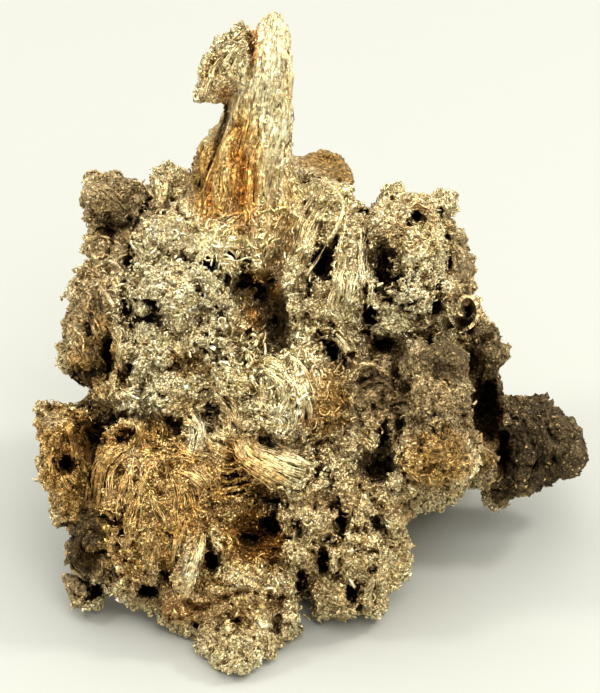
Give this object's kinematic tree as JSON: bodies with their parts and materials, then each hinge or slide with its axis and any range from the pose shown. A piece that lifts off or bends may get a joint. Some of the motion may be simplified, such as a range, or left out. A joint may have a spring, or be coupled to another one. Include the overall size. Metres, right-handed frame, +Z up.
{
  "type": "native silver specimen",
  "caption": "Natural mass of intergrown wiry and granular metal crystals with a fluted tower, resting on its own lobes.",
  "frame": {"origin": "centre of the bounding box at its bottom, on the plane that the specimen rests on", "axes": "+Z up, +X to the right, the front face with the granular lobes and wire sheaves looks to -Y and up, the tower stands at the top towards +Y"},
  "size_m": [0.0468, 0.0382, 0.0455],
  "materials": {
    "silver": "bright granular and wiry metal crystals with golden brown tarnish",
    "wires": "bundles of fine bright wires, golden brown in the grooves",
    "grains": "small bright crystal grains",
    "patina": "dark brown grey tarnish over coarse grains"
  },
  "bodies": {
    "root": {"native_silver": "silver"}
  },
  "joints": []
}
